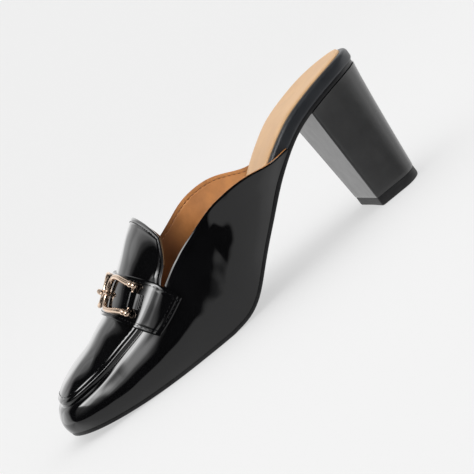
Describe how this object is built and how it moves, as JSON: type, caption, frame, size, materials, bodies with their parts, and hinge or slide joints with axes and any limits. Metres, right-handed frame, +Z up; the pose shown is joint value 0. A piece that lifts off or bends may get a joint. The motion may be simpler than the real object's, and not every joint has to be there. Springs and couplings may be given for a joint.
{
  "type": "slip-on shoe",
  "caption": "Left heeled loafer mule with a raised apron seam, high tongue, saddle strap with metal link trim, open back, padded insole and tapered block heel.",
  "frame": {"origin": "middle of the heel's flat foot, on the floor", "axes": "+Z up, -Y towards the toe, +X towards the outer side of this left shoe"},
  "size_m": [0.0849, 0.2381, 0.078],
  "materials": {
    "black_patent": "high gloss",
    "heel_wrap": "satin",
    "black_sole": "satin",
    "black_rubber": "matte",
    "tan_sock": "matte",
    "pale_gold": "polished"
  },
  "bodies": {
    "root": {"upper": "black_patent", "tongue": "black_patent", "saddle_strap": "black_patent", "link_lateral": "pale_gold", "link_medial": "pale_gold", "pin_lateral": "pale_gold", "pin_medial": "pale_gold", "joiner": "pale_gold", "outsole": "black_sole", "footbed": "black_patent", "sock": "tan_sock", "heel": "heel_wrap", "top_piece": "black_rubber"}
  },
  "joints": []
}
